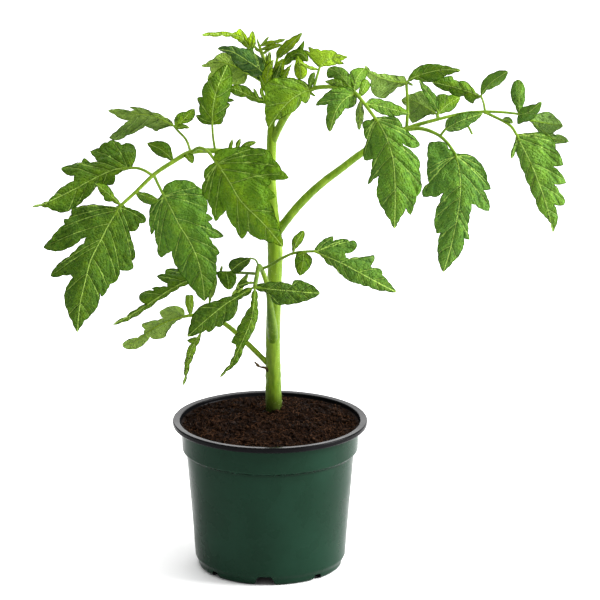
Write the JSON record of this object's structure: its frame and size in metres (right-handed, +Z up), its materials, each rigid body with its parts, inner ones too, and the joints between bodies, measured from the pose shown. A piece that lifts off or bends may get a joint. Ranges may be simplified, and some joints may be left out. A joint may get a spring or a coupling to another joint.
{
  "type": "potted tomato plant",
  "caption": "Young tomato plant with lobed pinnate leaves on an upright stem, rooted in dark potting soil in a round tapered nursery pot.",
  "frame": {"origin": "middle of the pot's flat base, on the surface that the pot stands on", "axes": "+Z up along the pot's axis, the plant's front looks along -Y, +X to the right as seen from the front"},
  "size_m": [0.3554, 0.13, 0.3624],
  "materials": {
    "pot": "satin",
    "soil": "rough and crumbly",
    "stem": "softly hairy",
    "dried_seed_leaf": "dry",
    "leaf": "matt, quilted",
    "young_leaf": "matt, downy"
  },
  "bodies": {
    "root": {"pot": "pot", "soil": "soil", "stem": "stem", "dried_seed_leaf": "dried_seed_leaf", "leaf_low": "leaf", "leaf_front": "leaf", "leaf_right": "leaf", "leaf_left": "leaf", "leaf_forward": "leaf", "shoot_tip": "young_leaf"}
  },
  "joints": []
}
